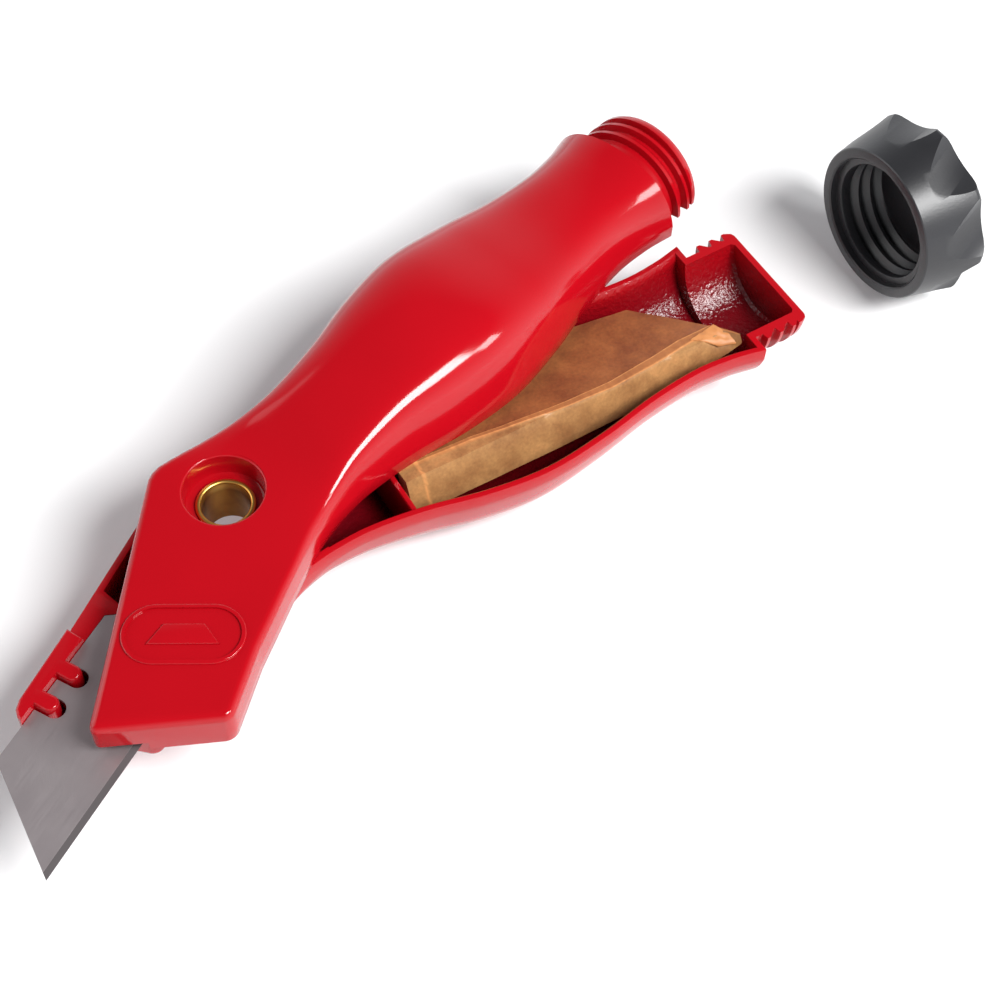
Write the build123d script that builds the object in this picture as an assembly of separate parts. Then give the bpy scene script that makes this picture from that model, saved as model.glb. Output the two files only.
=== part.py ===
"""Two-shell lino and carpet knife, swung open, with its end cap unscrewed.

The frame: the origin is on the pivot rivet's axis, in the plane where the two shells meet. +X runs along the
back shell's handle to its threaded end, +Y is away from the cutting edge, and +Z is up out of the back shell.
All lengths are in millimetres.
"""
from build123d import *
from math import hypot, radians, tan
import os

# ---- driving dimensions ----
OPEN_ANGLE = 17.7            # how far the front shell is swung away from closed
WALL = 1.8                   # thickness of the die-cast shells
JOINT_GAP = 0.05             # each shell's rim stands this far back from the parting plane
AXIS_Y = -2.85               # the handle's and the thread's centre line, beside the pivot

# the handle's cross-sections: place along X, half width, height over the parting plane, squareness of the dome
HANDLE = [
    (-6.0, 12.6, 7.4, 7.0),
    (4.0, 13.6, 7.9, 6.5),
    (12.0, 13.0, 9.0, 5.5),
    (20.0, 12.7, 11.3, 4.2),
    (31.0, 14.1, 14.2, 3.4),
    (42.0, 16.6, 16.2, 3.2),
    (54.0, 17.85, 16.8, 3.2),
    (67.0, 16.5, 15.0, 3.1),
    (79.0, 14.2, 13.3, 3.0),
    (90.0, 13.15, 12.9, 2.7),
    (98.0, 13.75, 13.2, 2.4),
    (103.8, 14.95, 13.9, 2.2),
]
CHAMBER_START = 12.0         # the handle's hollow starts here, past the pivot's boss
CHAMBER_END = 102.6          # and ends here, at the shoulder before the threaded stub
RIB_X = 29.0                 # a thin cross wall that keeps the spare blades out of the neck
RIB_THICK = 1.0
RIB_DROP = 0.9               # the cross wall's edge lies this far below the rim

# the head: a flat block, from the blade's end to the neck
HEAD_HEIGHT = 8.0
HEAD_TIP = (-46.4, -16.9)    # the corner over the blade's back
HEAD_CORNER = (-29.6, -32.2)  # the corner over the cutting edge
HEAD_NEAR = [(-17.6, -26.2), (-5.0, -21.1), (4.0, -17.7), (14.0, -15.75)]
HEAD_FAR = [(12.0, 10.0), (3.5, 11.2)]
HEAD_SHOULDER = (-5.6, 12.5)  # the corner beyond the pivot
HEAD_ROUND = 1.6             # rounding of the corners
HEAD_EDGE_ROUND = 1.5        # rounding of the edges round the flat faces
HEAD_CEILING = 2.2           # thickness of the flat faces

# pivot
BOSS_R = 9.2
COUNTERBORE_R = 7.1
FRONT_SEAT_Z = 3.1           # the rivet's rolled rim sits this high in the front shell
BACK_SEAT_Z = -6.3           # and this low in the back shell
RIVET_R = 4.8
RIVET_BORE_R = 4.3
RIVET_RIM_R = 5.25
RIM_HEIGHT = 0.7
PIVOT_CLEARANCE = 0.06

# threaded stub and end cap
COLLAR_X = HANDLE[-1][0]
STUB_END_X = 115.3
STUB_BORE_R = 10.0
STUB_END_WALL = 1.3
THREAD_ROOT_R = 11.5
THREAD_CREST_R = 12.9
THREAD_PITCH = 2.95
CREST_FLAT = 0.7
STEEP_FLANK = 0.25
GENTLE_FLANK = 1.6
FIRST_CREST_X = 107.5
TURNS = 3
CAP_MOUTH_X = 141.0          # where the unscrewed cap lies, on the thread's axis
CAP_LENGTH = 13.8
CAP_MOUTH_R = 15.9
CAP_REAR_R = 18.4
CAP_REAR_WALL = 2.0
CAP_RECESS_R = 13.6
CAP_RECESS_DEPTH = 1.6
CAP_CREST_R = 11.9
CAP_ROOT_R = 13.2
CAP_SCOOPS = 8
SCOOP_R = 11.0
SCOOP_DEPTH = 2.4            # at the cap's largest circle
SCOOP_TWIST = 24.0           # about the scoop's own radius
SCOOP_LEAN = 6.0             # from the thread's axis

# trapezoid blade, shared by the working blade and the spares
BLADE_LENGTH = 56.0
BLADE_WIDTH = 18.7
BLADE_THICK = 0.63
BLADE_END_ANGLE = 55.5
NOTCH_PITCH = 6.3
NOTCH_WIDTH = 3.5
NOTCH_DEPTH = 4.7
BEVEL = 1.1                  # width of the ground cutting edge
EDGE_THICK = 0.08
BLADE_TIP = (-54.2, -45.9)   # the cutting edge's front end
BLADE_TURN = 31.0            # the cutting edge's direction, from +X
BLADE_TOP_Z = -0.02

# the locating rail that stands up beside the working blade
RAIL_TOP_Z = 1.6
RAIL = [(-33.4, -7.5), (-45.5, -15.8), (-47.0, -18.2), (-46.7, -20.2), (-45.6, -20.0), (-31.9, -10.6)]
RAIL_GAP = [(-31.0, -4.0), (-49.0, -16.5), (-50.0, -21.0), (-41.6, -25.4), (-39.0, -22.0), (-30.0, -11.0)]
LUG_WIDTH = 2.9
LUG_REACH = 3.6
LUG_FIELD = [(-30.0, -8.0), (-48.0, -20.0), (-44.0, -26.0), (-26.0, -14.0)]   # the lugs' roots stay inside this
BED_CLEARANCE = 0.12         # between the blade's outline and its bed

# pockets that lighten the back shell's head on both sides of the pivot
POCKET_DEPTH = 6.0
FAR_POCKET = [(-11.5, 3.6), (-17.6, 0.6), (-25.2, -4.3), (-23.6, -7.6), (-11.0, -8.6), (-7.5, -3.0)]
NEAR_POCKET = [(-13.2, -22.0), (-5.2, -18.6), (3.4, -15.2), (6.0, -9.6), (-6.0, -12.4)]

# packet of spare blades
SPARES = 10
PACKET_CORNER = (30.9, -9.1, -0.7)   # upper left corner of the packet's near edge
PACKET_TURN = -0.4           # about Z
PACKET_TILT = 8.0            # the far edge lies lower
STACK_LEAN = 1.5             # the lowest blade lies this much nearer the cutting edge's side than the top one
PAPER = 0.3
PAPER_SLACK = 0.15           # round the blades' outline
STACK_DROP = 0.4             # slack paper above the blades
PAPER_TAIL = [(28.0, 0.0), (60.0, -0.8), (70.6, -3.2), (69.9, 0.2), (66.8, 3.4), (56.8, 15.0), (28.0, 17.5)]
TAIL_THICK = 2.4
SPARE_GAP = 0.01


# ---- the shells' common shape ----
def dome(x, half_width, height, squareness):
    """One cross-section of the handle above the parting plane, as square as a superellipse of that power.

    Each side is one cubic curve that leaves the base upright and arrives level at the crown.
    """
    pull = min(1.0, (8 * 2 ** (-1 / squareness) - 4) / 3)
    near, far, crown = AXIS_Y - half_width, AXIS_Y + half_width, (x, AXIS_Y, height)
    near_side = Bezier((x, near, 0), (x, near, pull * height), (x, AXIS_Y - pull * half_width, height), crown)
    far_side = Bezier(crown, (x, AXIS_Y + pull * half_width, height), (x, far, pull * height), (x, far, 0))
    return make_face(near_side + far_side + Line((x, far, 0), (x, near, 0)))


def handle_half(inset=0.0, start=None, end=None):
    """The upper half of the handle, or, with an inset, of the hollow inside it."""
    rows = [r for r in HANDLE if (start is None or r[0] > start + 2) and (end is None or r[0] < end - 2)]
    if start is not None:
        rows = [at_station(start)] + rows
    if end is not None:
        rows = rows + [at_station(end)]
    return loft([dome(x, w - inset, h - inset, n) for x, w, h, n in rows])


def at_station(x):
    """The handle's measures at a place between two listed cross-sections."""
    for a, b in zip(HANDLE, HANDLE[1:]):
        if a[0] <= x <= b[0]:
            k = (x - a[0]) / (b[0] - a[0])
            return (x, *(p + k * (q - p) for p, q in zip(a[1:], b[1:])))
    raise ValueError(x)


def head_outline():
    """The head's flat outline, from the neck round the pivot's shoulder to the blade's end and back."""
    corners = [HEAD_TIP, HEAD_CORNER, *HEAD_NEAR, *HEAD_FAR, HEAD_SHOULDER]
    face = make_face(Polyline(*corners, close=True))
    sharp = [v for v in face.vertices() if any(hypot(v.X - x, v.Y - y) < 0.01
                                               for x, y in (HEAD_TIP, HEAD_CORNER, HEAD_SHOULDER))]
    return fillet(sharp, HEAD_ROUND)


def slab(face, low, high):
    return extrude(Pos(0, 0, low) * face, high - low)


def post(r, low, high, x=0.0, y=0.0):
    return Pos(x, y, low) * Cylinder(r, high - low, align=(Align.CENTER, Align.CENTER, Align.MIN))


def along_x(r, start, end):
    """A cylinder on the thread's axis."""
    rod = Cylinder(r, end - start, align=(Align.CENTER, Align.CENTER, Align.MIN))
    return Pos(start, AXIS_Y, 0) * Rot(0, 90, 0) * rod


def ridge(crest_x, root_r, crest_r):
    """One ring of buttress thread: its steep flank faces the collar, its gentle one the free end."""
    steep_foot = crest_x - CREST_FLAT / 2 - STEEP_FLANK
    gentle_foot = crest_x + CREST_FLAT / 2 + GENTLE_FLANK
    profile = Polyline(
        (steep_foot, root_r),
        (crest_x - CREST_FLAT / 2, crest_r),
        (crest_x + CREST_FLAT / 2, crest_r),
        (gentle_foot, root_r),
        close=True,
    )
    return Pos(0, AXIS_Y, 0) * revolve(make_face(profile), Axis.X)


def threaded_stub():
    start = COLLAR_X - 2
    stub = along_x(THREAD_ROOT_R, start, STUB_END_X)
    for i in range(TURNS):
        stub += ridge(FIRST_CREST_X + i * THREAD_PITCH, THREAD_ROOT_R - 0.1, THREAD_CREST_R)
    trim = Box(STUB_END_X - start, 60, 60, align=(Align.MIN, Align.CENTER, Align.CENTER))
    return stub & Pos(start, AXIS_Y, 0) * trim


def above(z):
    return Pos(0, 0, z) * Box(400, 400, 100, align=(Align.CENTER, Align.CENTER, Align.MIN))


def outer_half():
    head = slab(head_outline(), 0, HEAD_HEIGHT)
    top_edges = head.edges().filter_by_position(Axis.Z, HEAD_HEIGHT - 0.01, HEAD_HEIGHT + 0.01)
    head = fillet(top_edges, HEAD_EDGE_ROUND)
    body = head + handle_half() + threaded_stub()
    return body & above(JOINT_GAP)


def hollow_half():
    """The hollow of the handle and of the stub, which both shells have."""
    chamber = handle_half(WALL, CHAMBER_START, CHAMBER_END)
    bore = along_x(STUB_BORE_R, CHAMBER_END - 1, STUB_END_X - STUB_END_WALL)
    return (chamber + bore) & above(-1)


# ---- the blade ----
def blade_outline(grow=0.0):
    lean = BLADE_WIDTH / tan(radians(BLADE_END_ANGLE))
    back_end = BLADE_LENGTH - lean
    corners = [(0, 0), (BLADE_LENGTH, 0), (back_end, BLADE_WIDTH), (lean, BLADE_WIDTH)]
    face = make_face(Polyline(*corners, close=True))
    return offset(face, grow, kind=Kind.INTERSECTION) if grow else face


def notch_places():
    return [BLADE_LENGTH / 2 - NOTCH_PITCH / 2, BLADE_LENGTH / 2 + NOTCH_PITCH / 2]


def slot_shape(u, width, reach, low, high):
    """A round-ended tongue that reaches in from the blade's back edge."""
    r = width / 2
    centre = BLADE_WIDTH - reach + r
    sides = Box(width, reach - r + 2, high - low, align=(Align.CENTER, Align.MIN, Align.MIN))
    return post(r, low, high, u, centre) + Pos(u, centre, low) * sides


def blade():
    """A blade lying with its cutting edge on the X axis and its upper face at z = 0."""
    body = slab(blade_outline(), -BLADE_THICK, 0)
    for u in notch_places():
        body -= slot_shape(u, NOTCH_WIDTH, NOTCH_DEPTH, -BLADE_THICK - 1, 1)
    land = (BLADE_THICK - EDGE_THICK) / 2
    for side, z in ((1, 0), (-1, -BLADE_THICK)):
        edge_z = z - side * land
        cut = make_face(Polyline((0, -0.5, z), (0, BEVEL, z), (0, 0, edge_z), (0, -0.5, edge_z), close=True))
        body -= extrude(cut, BLADE_LENGTH, dir=(1, 0, 0))
    return body


BLADE_PLACE = Pos(*BLADE_TIP, BLADE_TOP_Z) * Rot(0, 0, BLADE_TURN)


# ---- the pieces ----
def make_back_shell():
    shell = mirror(outer_half() - hollow_half(), Plane.XY)
    # the cross wall, a little lower than the rim
    wall = Pos(RIB_X, AXIS_Y, 0) * Box(RIB_THICK, 50, 60)
    wall &= handle_half(WALL - 0.3, CHAMBER_START + 1, CHAMBER_END - 1) & above(RIB_DROP)
    shell += mirror(wall, Plane.XY)
    # pockets on both sides of the pivot's boss
    for outline in (FAR_POCKET, NEAR_POCKET):
        pocket = slab(make_face(Polyline(*outline, close=True)), -POCKET_DEPTH, 1)
        shell -= pocket - post(BOSS_R, -20, 2)
    # the blade's bed, open at the head's end
    bed = BLADE_PLACE * slab(blade_outline(BED_CLEARANCE), -BLADE_THICK - 0.03, 5)
    shell -= bed
    # the rail and its two lugs, which lock the blade by its notches
    shell += slab(make_face(Polyline(*RAIL, close=True)), -3.0, RAIL_TOP_Z) - bed
    reach = slab(make_face(Polyline(*LUG_FIELD, close=True)), -3.0, RAIL_TOP_Z)
    for u in notch_places():
        shell += BLADE_PLACE * slot_shape(u, LUG_WIDTH, LUG_REACH, -2.0, RAIL_TOP_Z - BLADE_TOP_Z) & reach
    # pivot
    shell -= post(RIVET_R, -20, 5)
    shell -= post(COUNTERBORE_R, -20, BACK_SEAT_Z)
    return shell


def make_front_shell():
    """Modelled closed, then swung open about the pivot."""
    shell = outer_half() - hollow_half()
    inside = offset(head_outline(), -WALL, kind=Kind.INTERSECTION)
    cavity = slab(inside, -1, HEAD_HEIGHT - HEAD_CEILING) - post(BOSS_R, -2, 20)
    neck_end = Pos(CHAMBER_START + 1, 0, 0) * Box(100, 120, 60, align=(Align.MAX, Align.CENTER, Align.CENTER))
    shell -= cavity & neck_end
    # the side over the blade's back is open, because the back shell's rail closes it
    shell -= slab(make_face(Polyline(*RAIL_GAP, close=True)), -1, RAIL_TOP_Z + 0.5)
    shell -= post(RIVET_R + PIVOT_CLEARANCE, -5, 20)
    shell -= post(COUNTERBORE_R, FRONT_SEAT_Z, 20)
    return Rot(0, 0, OPEN_ANGLE) * shell


def make_rivet():
    """A brass tube, rolled outwards at both ends."""
    top = FRONT_SEAT_Z + PIVOT_CLEARANCE
    half = RIM_HEIGHT / 2
    roll_r = RIVET_BORE_R + 0.3
    profile = (
        Line((RIVET_BORE_R, BACK_SEAT_Z), (RIVET_BORE_R, top))
        + ThreePointArc((RIVET_BORE_R, top), (roll_r, top + RIM_HEIGHT), (RIVET_RIM_R, top + half))
        + Polyline((RIVET_RIM_R, top + half), (RIVET_RIM_R, top), (RIVET_R, top), (RIVET_R, BACK_SEAT_Z))
        + Polyline((RIVET_R, BACK_SEAT_Z), (RIVET_RIM_R, BACK_SEAT_Z), (RIVET_RIM_R, BACK_SEAT_Z - half))
        + ThreePointArc(
            (RIVET_RIM_R, BACK_SEAT_Z - half),
            (roll_r, BACK_SEAT_Z - RIM_HEIGHT),
            (RIVET_BORE_R, BACK_SEAT_Z),
        )
    )
    return revolve(Plane.XZ * make_face(profile), Axis.Z)


def make_end_cap():
    rear = CAP_MOUTH_X + CAP_LENGTH
    profile = Polyline(
        (CAP_MOUTH_X, 0),
        (CAP_MOUTH_X, CAP_MOUTH_R - 0.5),
        (CAP_MOUTH_X + 0.5, CAP_MOUTH_R),
        (rear - 1.6, CAP_REAR_R),
        (rear - 0.5, CAP_REAR_R - 1.0),
        (rear, CAP_REAR_R - 2.6),
        (rear, 0),
        close=True,
    )
    cap = Pos(0, AXIS_Y, 0) * revolve(make_face(profile), Axis.X)
    # scoops for the fingers, deepest at the rear, twisted about the cap
    lift = Pos(rear - 3, 0, CAP_REAR_R + SCOOP_R - SCOOP_DEPTH)
    scoop = lift * Rot(0, 0, SCOOP_TWIST) * Rot(0, 90 + SCOOP_LEAN, 0) * Cylinder(SCOOP_R, 26)
    for i in range(CAP_SCOOPS):
        cap -= Pos(0, AXIS_Y, 0) * Rot(360 * (i + 0.5) / CAP_SCOOPS, 0, 0) * scoop
    # the recess inside the mouth, the hollow and the thread's grooves
    groove_x = CAP_MOUTH_X + CAP_RECESS_DEPTH
    cap -= along_x(CAP_RECESS_R, CAP_MOUTH_X - 1, groove_x)
    cap -= along_x(CAP_CREST_R, CAP_MOUTH_X, rear - CAP_REAR_WALL)
    for i in range(TURNS):
        cap -= ridge(groove_x + 1.0 + i * THREAD_PITCH, CAP_CREST_R - 0.05, CAP_ROOT_R)
    return cap


def packet_place():
    return Pos(*PACKET_CORNER) * Rot(0, 0, PACKET_TURN) * Rot(-PACKET_TILT, 0, 0)


def leaning_stack(grow, high, low):
    """A block over the blades' outline that leans with them."""
    lean = STACK_LEAN / (SPARES * BLADE_THICK)
    outline = blade_outline(grow)
    return loft([Pos(0, lean * (z + STACK_DROP), z) * outline for z in (high, low)], ruled=True)


def make_wrapper():
    """Paper folded round the stack of blades, with its surplus folded into a flat tail at one end."""
    thick = STACK_DROP + SPARES * (BLADE_THICK + SPARE_GAP) + PAPER
    outside = leaning_stack(PAPER + PAPER_SLACK, 0, -thick)
    inside = leaning_stack(PAPER_SLACK, -PAPER, -thick + PAPER)
    tail = slab(make_face(Polyline(*PAPER_TAIL, close=True)), -TAIL_THICK, 0)
    return packet_place() * (outside + tail - inside)


def spare_blades():
    """The spares lie on each other with their cutting edges on the packet's near side."""
    for i in range(SPARES):
        shift = -STACK_LEAN * i / (SPARES - 1)
        yield packet_place() * Pos(0, shift, -STACK_DROP - i * (BLADE_THICK + SPARE_GAP)) * blade()


pieces = {
    "back_shell": make_back_shell(),
    "front_shell": make_front_shell(),
    "pivot_rivet": make_rivet(),
    "working_blade": BLADE_PLACE * blade(),
    "end_cap": make_end_cap(),
    "blade_wrapper": make_wrapper(),
}
for number, spare in enumerate(spare_blades(), start=1):
    pieces[f"spare_blade_{number:02d}"] = spare

os.makedirs("parts", exist_ok=True)
for name, piece in pieces.items():
    export_step(piece, f"parts/{name}.step")
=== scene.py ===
from math import cos, hypot, pi, radians, sin, tan

import bmesh
import bpy
from mathutils import Matrix, Vector
from mathutils.noise import noise


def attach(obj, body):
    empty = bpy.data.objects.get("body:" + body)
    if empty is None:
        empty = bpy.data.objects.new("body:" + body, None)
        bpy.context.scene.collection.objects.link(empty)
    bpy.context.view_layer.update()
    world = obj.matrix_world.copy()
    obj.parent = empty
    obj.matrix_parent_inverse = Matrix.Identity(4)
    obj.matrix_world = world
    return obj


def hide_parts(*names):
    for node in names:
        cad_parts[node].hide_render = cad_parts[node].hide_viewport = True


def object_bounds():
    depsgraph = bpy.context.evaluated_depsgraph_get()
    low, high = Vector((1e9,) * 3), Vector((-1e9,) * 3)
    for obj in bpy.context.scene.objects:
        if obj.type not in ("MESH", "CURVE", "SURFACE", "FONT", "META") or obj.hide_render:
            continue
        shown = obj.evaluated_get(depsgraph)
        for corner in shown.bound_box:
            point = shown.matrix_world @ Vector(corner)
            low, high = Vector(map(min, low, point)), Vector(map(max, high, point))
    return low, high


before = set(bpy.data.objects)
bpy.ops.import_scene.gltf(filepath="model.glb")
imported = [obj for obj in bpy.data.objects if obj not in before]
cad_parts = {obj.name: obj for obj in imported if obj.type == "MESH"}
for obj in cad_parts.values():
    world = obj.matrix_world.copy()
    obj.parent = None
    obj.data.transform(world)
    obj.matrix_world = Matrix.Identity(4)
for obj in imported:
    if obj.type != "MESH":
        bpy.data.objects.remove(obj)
cad_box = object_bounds()


# ==== Camera, table and light ====
# A two-shell lino knife lies open on a plain pale table, with its end cap beside it, under three soft boxes.
# The camera stands on the cutting edge's side and looks down into the open shells.
MM = 0.001
scene = bpy.context.scene
scene.view_settings.view_transform = "Standard"

CAMERA_AT = Vector((-56.445, -168.480, 263.688)) * MM
CAMERA_RIGHT = Vector((0.85174, -0.52319, 0.02839))
CAMERA_DOWN = Vector((-0.42100, -0.71561, -0.55737))
LENS = 64.8

camera = bpy.data.objects.new("camera", bpy.data.cameras.new("camera"))
scene.collection.objects.link(camera)
camera.data.lens = LENS
camera.data.clip_start, camera.data.clip_end = 0.01, 5
camera.matrix_world = (
    Matrix.Translation(CAMERA_AT)
    @ Matrix((CAMERA_RIGHT, -CAMERA_DOWN, CAMERA_DOWN.cross(CAMERA_RIGHT))).transposed().to_4x4()
)
scene.camera = camera


def linear(hex_code):
    """An sRGB hex colour as linear RGBA."""
    values = [int(hex_code[i : i + 2], 16) / 255 for i in (1, 3, 5)]
    return (*[v / 12.92 if v <= 0.04045 else ((v + 0.055) / 1.055) ** 2.4 for v in values], 1)


def add(tree, kind, inputs=(), **settings):
    """Adds a node with its settings. An input, by name or by number, takes a value, a socket or a node; of a
    node, the first output in use is linked."""
    node = tree.nodes.new(kind)
    for name, value in settings.items():
        setattr(node, name, value)
    for key, value in dict(inputs).items():
        named = [s for s in node.inputs if s.name == key and s.enabled]
        socket = named[0] if named else node.inputs[key]
        if isinstance(value, bpy.types.Node):
            value = next(s for s in value.outputs if s.enabled)
        if isinstance(value, bpy.types.NodeSocket):
            tree.links.new(value, socket)
        else:
            socket.default_value = value
    return node


def blank_material(name):
    """A material without nodes, and its node tree."""
    material = bpy.data.materials.new(name)
    material.use_nodes = True
    material.node_tree.nodes.clear()
    return material, material.node_tree


def finish_surface(tree, **inputs):
    """Ends a material in one shader; underscores stand for the spaces in the sockets' names."""
    shader = add(tree, "ShaderNodeBsdfPrincipled", {k.replace("_", " "): v for k, v in inputs.items()})
    add(tree, "ShaderNodeOutputMaterial", {"Surface": shader})


# painted board: even, matt and nearly white
board, tree = blank_material("white_painted_board_matt")
finish_surface(tree, Base_Color=linear("#E8E8E8"), Roughness=0.9)

TABLE_HALF, TABLE_GAP = 0.7, 0.1 * MM
table_z = cad_box[0].z - TABLE_GAP
table_mesh = bpy.data.meshes.new("table")
corners = [(-1, -1), (1, -1), (1, 1), (-1, 1)]
table_mesh.from_pydata([(x * TABLE_HALF, y * TABLE_HALF, table_z) for x, y in corners], [], [(0, 1, 2, 3)])
table_mesh.materials.append(board)
table = bpy.data.objects.new("table", table_mesh)
scene.collection.objects.link(table)

# the room glows low down and is dark overhead, so that level enamel mirrors little light and stays deep red
LOW_GLOW, HIGH_GLOW, HIGH_FROM = 1.7, 0.08, 0.8
world = bpy.data.worlds.new("studio")
scene.world = world
world.use_nodes = True
room = world.node_tree
direction = add(room, "ShaderNodeTexCoord").outputs["Generated"]
above = add(room, "ShaderNodeSeparateXYZ", {"Vector": direction}).outputs["Z"]
glow = add(
    room,
    "ShaderNodeMapRange",
    {"Value": above, "From Max": HIGH_FROM, "To Min": LOW_GLOW, "To Max": HIGH_GLOW},
)
room.nodes["Background"].inputs["Color"].default_value = linear("#F2F4F8")
room.links.new(glow.outputs["Result"], room.nodes["Background"].inputs["Strength"])

# each soft box: direction from the knife, distance, side and power, in metres and watts
AIM = Vector((30, 5, 0)) * MM
for name, direction, distance, size, watts in (
    ("key_soft_box", (0.28, -0.56, 0.78), 0.9, 0.33, 10.5),
    ("fill_soft_box", (-0.9, 0.8, 0.75), 1.1, 0.9, 3.5),
    ("side_soft_box", (0.62, -0.53, 0.62), 1.1, 0.24, 3.0),
):
    lamp = bpy.data.lights.new(name, "AREA")
    lamp.size, lamp.energy = size, watts
    lamp_object = bpy.data.objects.new(name, lamp)
    scene.collection.objects.link(lamp_object)
    away = Vector(direction).normalized()
    lamp_object.location = AIM + away * distance
    lamp_object.rotation_euler = away.to_track_quat("Z", "Y").to_euler()


# ==== Shells ====
# Both halves of the handle are zinc die castings, dipped in glossy red enamel. They share one outline: a flat
# head, a neck, a humped hollow handle and half of a threaded stub. They are modelled closed.
OPEN_ANGLE = radians(17.7)
WALL = 1.8
AXIS_Y = -2.85
# place along X, half width, height over the parting plane, squareness of the dome
HANDLE = [
    (-6.0, 12.6, 7.4, 7.0),
    (4.0, 13.6, 7.9, 6.5),
    (12.0, 13.0, 9.0, 5.5),
    (20.0, 12.7, 11.3, 4.2),
    (31.0, 14.1, 14.2, 3.4),
    (42.0, 16.6, 16.2, 3.2),
    (54.0, 17.85, 16.8, 3.2),
    (67.0, 16.5, 15.0, 3.1),
    (79.0, 14.2, 13.3, 3.0),
    (90.0, 13.15, 12.9, 2.7),
    (98.0, 13.75, 13.2, 2.4),
    (103.8, 14.95, 13.9, 2.2),
]
HEAD_HEIGHT = 8.0
HEAD_ROUND = 1.5
END_SPAN, END_RINGS = 13.0, 6  # the head's first stretch, and the rings that round off its end
NECK_START, NECK_SPAN = -3.0, 19.0  # where the flat head turns into the handle's dome
# pairs of outline points, far side and near side, that one cross-section of the head joins
HEAD_PAIRS = [
    ((-46.4, -16.9), (-29.6, -32.2)),
    ((-32.9, -7.2), (-17.6, -26.2)),
    ((-17.0, 4.27), (-10.0, -23.1)),
    ((-6.9, 11.56), (-5.0, -21.1)),
    ((-5.5, 12.1), (-3.7, -20.6)),
    ((-4.0, 12.27), (-2.4, -20.1)),
    ((3.5, 11.2), (4.0, -17.7)),
    ((14.0, 10.02), (14.0, -15.72)),
]
HEAD_STEPS = [10, 10, 7, 3, 3, 6, 10]
# the near side's outline from the head's corner to the neck
NEAR_LINE = [
    (-17.6, -26.2), (-11.0, -23.55), (-5.0, -21.1), (4.0, -17.7),
    (10.0, -16.23), (14.0, -15.72), (18.0, -15.57),
]
SIDE_WALL = 3.0  # upright stretch between the rim and the dome
SIDE_LEAN = 0.22  # slope of the dome's foot, which makes a soft crease over the upright stretch
RIM_CHAMFER, RIM_Z = 0.22, 0.05
HANDLE_STEP, SIDE_POINTS = 1.2, 24
WELD = 1e-7  # points nearer than this, in metres, are one


def smooth_row(x, rows=HANDLE):
    """The values at x on a smooth curve through the rows: half width, height and squareness of the handle."""

    def slope(i, k):
        a, b = rows[max(i - 1, 0)], rows[min(i + 1, len(rows) - 1)]
        return (b[k] - a[k]) / (b[0] - a[0])

    x = min(max(x, rows[0][0]), rows[-1][0])
    i = max(n for n in range(len(rows) - 1) if rows[n][0] <= x)
    span = rows[i + 1][0] - rows[i][0]
    t = (x - rows[i][0]) / span
    return [
        (2 * t**3 - 3 * t**2 + 1) * rows[i][k]
        + (t**3 - 2 * t**2 + t) * span * slope(i, k)
        + (3 * t**2 - 2 * t**3) * rows[i + 1][k]
        + (t**3 - t**2) * span * slope(i + 1, k)
        for k in range(1, len(rows[0]))
    ]


def pull(squareness):
    """Length of a dome's curve handles, as a share of its sides; a squarer dome has longer ones."""
    return min(1.0, (8 * 2 ** (-1 / squareness) - 4) / 3)


def quarter(w, foot, h, squareness, count, lean=0.0):
    """Points of a dome's side, from its foot up to the crown; distances are from the middle."""
    k = pull(squareness)
    sway = lean * k * (h - foot)
    points = []
    for i in range(count):
        t = i / (count - 1)
        b = ((1 - t) ** 3, 3 * t * (1 - t) ** 2, 3 * t * t * (1 - t), t**3)
        out = w * (b[0] + b[1] + k * b[2]) - sway * b[1]
        points.append((out, foot + (h - foot) * (k * b[1] + b[2] + b[3])))
    return points


def head_side(w, h, r):
    """Side of the flat head: upright, a round edge, and level to the middle."""
    bend = SIDE_POINTS // 2
    edge = [(w - r + r * cos(a), h - r + r * sin(a)) for a in (pi / 2 * i / (bend - 1) for i in range(bend))]
    return edge + [((w - r) * (1 - (i + 1) / bend), h) for i in range(SIDE_POINTS - bend)]


def section(far, near, x, inset=0.0):
    """One closed cross-section of a shell's outside, over the line from its near to its far outline point."""
    w = hypot(far[0] - near[0], far[1] - near[1]) / 2
    _, row_h, squareness = smooth_row(x)
    mix = min(max((x - NECK_START) / NECK_SPAN, 0), 1)
    mix = mix * mix * (3 - 2 * mix)
    flat = head_side(w - inset, HEAD_HEIGHT - inset, max(HEAD_ROUND - inset, 0.05))
    dome = quarter(w, SIDE_WALL, max(row_h, HEAD_HEIGHT), squareness, SIDE_POINTS, SIDE_LEAN)
    side = [(a[0] + mix * (b[0] - a[0]), a[1] + mix * (b[1] - a[1])) for a, b in zip(flat, dome)]
    foot = [
        (w - inset - RIM_CHAMFER, RIM_Z),
        (w - inset - 0.3 * RIM_CHAMFER, RIM_Z + 0.3 * RIM_CHAMFER),
        (w - inset, RIM_Z + RIM_CHAMFER),
        (w - inset, SIDE_WALL - 0.5),
        (w - inset, SIDE_WALL - 0.1),
    ]
    side = foot + side
    middle = Vector((*far, 0)).lerp(Vector((*near, 0)), 0.5)
    out = (Vector((*far, 0)) - Vector((*near, 0))).normalized()
    up = Vector((0, 0, 1))
    return [middle + out * d + up * z for d, z in side] + [middle - out * d + up * z for d, z in side[-2::-1]]


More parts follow.
